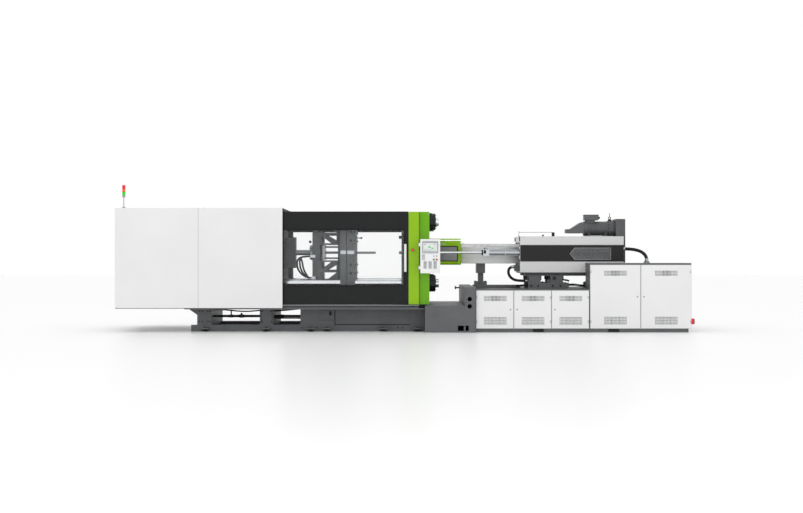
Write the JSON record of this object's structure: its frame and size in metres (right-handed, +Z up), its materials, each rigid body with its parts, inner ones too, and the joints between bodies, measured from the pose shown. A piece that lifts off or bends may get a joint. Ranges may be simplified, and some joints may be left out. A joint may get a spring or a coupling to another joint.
{
  "type": "injection moulding machine",
  "caption": "Horizontal toggle injection moulding machine with sliding safety gates, swivelling panel and retracting injection unit.",
  "frame": {"origin": "on the floor, under the middle of the fixed platen's mould face", "axes": "+X along the machine axis from the clamp to the injection unit, -Y towards the operator, +Z up"},
  "size_m": [9.446, 2.139, 2.403],
  "materials": {
    "cover_white": "satin",
    "machine_grey": "satin",
    "light_green": "gloss",
    "dark_green": "gloss",
    "black_paint": "satin",
    "casting": "painted casting",
    "steel": "machined",
    "chrome": "polished",
    "hose_rubber": "matt",
    "white_plastic": "satin",
    "black_plastic": "matt",
    "red_plastic": "gloss",
    "green_plastic": "gloss",
    "pane": "clear",
    "motor_grey": "satin",
    "band_steel": "sheet"
  },
  "bodies": {
    "frame": {"clamp_base": "machine_grey", "drop_panel": "machine_grey", "slide_rails": "steel", "fixed_platen": "casting", "tail_platen": "casting", "tie_bars": "chrome", "tie_bar_nuts": "casting", "clamp_cylinders": "casting", "cover_frame": "machine_grey", "clamp_covers": "cover_white", "platen_covers": "light_green", "nut_covers": "dark_green", "signal_tower": "white_plastic", "panel_arms": "machine_grey", "injection_base": "machine_grey", "drive_cabinet": "machine_grey", "power_pack": "motor_grey", "guide_shoes": "machine_grey", "carriage_rods": "chrome", "guard_rails": "steel", "hose_left": "hose_rubber", "hose_right": "hose_rubber"},
    "moving_platen": {"moving_platen": "casting", "ejector_cylinder": "steel"},
    "ejector": {"ejector": "steel"},
    "crosshead": {"crosshead": "casting"},
    "rear_link_upper": {"rear_link_upper": "casting"},
    "rear_link_lower": {"rear_link_lower": "casting"},
    "front_link_upper": {"front_link_upper": "casting"},
    "front_link_lower": {"front_link_lower": "casting"},
    "drive_link_upper": {"drive_link_upper": "casting"},
    "drive_link_lower": {"drive_link_lower": "casting"},
    "front_gate": {"front_gate": "black_paint", "gate_window": "pane"},
    "rear_gate": {"rear_gate": "black_paint"},
    "e_stop": {"e_stop": "red_plastic"},
    "panel": {"panel_housing": "white_plastic"},
    "start_button": {"start_button": "green_plastic"},
    "stop_button": {"stop_button": "red_plastic"},
    "carriage": {"carriage_frame": "machine_grey", "barrel": "steel", "nozzle": "steel", "heater_bands": "band_steel", "barrel_cover": "cover_white", "barrel_support": "machine_grey", "carriage_cylinders": "casting", "unit_cover": "cover_white", "unit_bands": "black_plastic"},
    "thrust": {"thrust_plate": "steel", "drive_motor": "motor_grey", "belt_box": "motor_grey", "drive_belt": "hose_rubber"},
    "screw": {"screw": "steel"},
    "motor_pulley": {"motor_pulley": "steel"},
    "nozzle_guard": {"nozzle_guard": "light_green"},
    "door_1": {"door_1": "cover_white"},
    "door_2": {"door_2": "cover_white"},
    "door_3": {"door_3": "cover_white"},
    "door_4": {"door_4": "cover_white"},
    "door_5": {"door_5": "cover_white"}
  },
  "joints": [
    {"name": "platen_slide", "type": "slide", "parent": "frame", "child": "moving_platen", "axis": [-1, 0, 0], "range_m": [0, 0.719]},
    {"name": "crosshead_slide", "type": "slide", "parent": "frame", "child": "crosshead", "axis": [-1, 0, 0], "range_m": [-0.002, 0.5625]},
    {"name": "rear_link_upper_pivot", "type": "hinge", "parent": "frame", "child": "rear_link_upper", "pos_m": [-2.644, 0, 1.86], "axis": [0, 1, 0], "range_deg": [-0.2, 100.3]},
    {"name": "front_link_upper_pivot", "type": "hinge", "parent": "moving_platen", "child": "front_link_upper", "pos_m": [-1.584, 0, 1.86], "axis": [0, -1, 0], "range_deg": [-0.2, 46.9]},
    {"name": "drive_link_upper_pivot", "type": "hinge", "parent": "crosshead", "child": "drive_link_upper", "pos_m": [-2.034, 0, 1.5], "axis": [0, 1, 0], "range_deg": [-0.2, 66.8]},
    {"name": "rear_link_lower_pivot", "type": "hinge", "parent": "frame", "child": "rear_link_lower", "pos_m": [-2.644, 0, 0.74], "axis": [0, -1, 0], "range_deg": [-0.2, 100.3]},
    {"name": "front_link_lower_pivot", "type": "hinge", "parent": "moving_platen", "child": "front_link_lower", "pos_m": [-1.584, 0, 0.74], "axis": [0, 1, 0], "range_deg": [-0.2, 46.9]},
    {"name": "drive_link_lower_pivot", "type": "hinge", "parent": "crosshead", "child": "drive_link_lower", "pos_m": [-2.034, 0, 1.1], "axis": [0, -1, 0], "range_deg": [-0.2, 66.8]},
    {"name": "ejector_slide", "type": "slide", "parent": "moving_platen", "child": "ejector", "axis": [1, 0, 0], "range_m": [0, 0.15]},
    {"name": "front_gate_slide", "type": "slide", "parent": "frame", "child": "front_gate", "axis": [-1, 0, 0], "range_m": [0, 1.85]},
    {"name": "rear_gate_slide", "type": "slide", "parent": "frame", "child": "rear_gate", "axis": [-1, 0, 0], "range_m": [0, 1.85]},
    {"name": "panel_swivel", "type": "hinge", "parent": "frame", "child": "panel", "pos_m": [0.294, -1.05, 1.24], "axis": [0, 0, -1], "range_deg": [0, 75]},
    {"name": "e_stop_push", "type": "slide", "parent": "frame", "child": "e_stop", "axis": [0, 1, 0], "range_m": [0, 0.008], "stiffness_N_per_m": 800},
    {"name": "start_button_push", "type": "slide", "parent": "panel", "child": "start_button", "axis": [0, 1, 0], "range_m": [0, 0.005], "stiffness_N_per_m": 400},
    {"name": "stop_button_push", "type": "slide", "parent": "panel", "child": "stop_button", "axis": [0, 1, 0], "range_m": [0, 0.005], "stiffness_N_per_m": 400},
    {"name": "door_1_hinge", "type": "hinge", "parent": "frame", "child": "door_1", "pos_m": [1.215, -1, 0.37], "axis": [0, 0, -1], "range_deg": [0, 90]},
    {"name": "door_2_hinge", "type": "hinge", "parent": "frame", "child": "door_2", "pos_m": [2.436, -1, 0.37], "axis": [0, 0, 1], "range_deg": [0, 90]},
    {"name": "door_3_hinge", "type": "hinge", "parent": "frame", "child": "door_3", "pos_m": [3.05, -1, 0.37], "axis": [0, 0, 1], "range_deg": [0, 90]},
    {"name": "door_4_hinge", "type": "hinge", "parent": "frame", "child": "door_4", "pos_m": [3.067, -1, 0.58], "axis": [0, 0, -1], "range_deg": [0, 90]},
    {"name": "door_5_hinge", "type": "hinge", "parent": "frame", "child": "door_5", "pos_m": [4.713, -1, 0.58], "axis": [0, 0, 1], "range_deg": [0, 90]},
    {"name": "carriage_slide", "type": "slide", "parent": "frame", "child": "carriage", "axis": [1, 0, 0], "range_m": [0, 0.35], "deforming": ["hose_left", "hose_right"]},
    {"name": "injection_slide", "type": "slide", "parent": "carriage", "child": "thrust", "axis": [1, 0, 0], "range_m": [0, 0.32]},
    {"name": "screw_turn", "type": "hinge", "parent": "thrust", "child": "screw", "pos_m": [3.175, 0, 1.3], "axis": [1, 0, 0], "continuous": true},
    {"name": "motor_pulley_turn", "type": "hinge", "parent": "thrust", "child": "motor_pulley", "pos_m": [3.7, 0, 1.71], "axis": [1, 0, 0], "continuous": true},
    {"name": "guard_slide", "type": "slide", "parent": "frame", "child": "nozzle_guard", "axis": [1, 0, 0], "range_m": [0, 0.5]}
  ],
  "couplings": [
    {"joint": "crosshead_slide", "follows": "platen_slide", "ratio": 0.7794},
    {"joint": "rear_link_upper_pivot", "follows": "platen_slide", "rad_per_m": 2.4274},
    {"joint": "front_link_upper_pivot", "follows": "platen_slide", "rad_per_m": 1.1309},
    {"joint": "drive_link_upper_pivot", "follows": "platen_slide", "rad_per_m": 1.6133},
    {"joint": "rear_link_lower_pivot", "follows": "platen_slide", "rad_per_m": 2.4274},
    {"joint": "front_link_lower_pivot", "follows": "platen_slide", "rad_per_m": 1.1309},
    {"joint": "drive_link_lower_pivot", "follows": "platen_slide", "rad_per_m": 1.6133},
    {"joint": "motor_pulley_turn", "follows": "screw_turn", "ratio": 2}
  ]
}
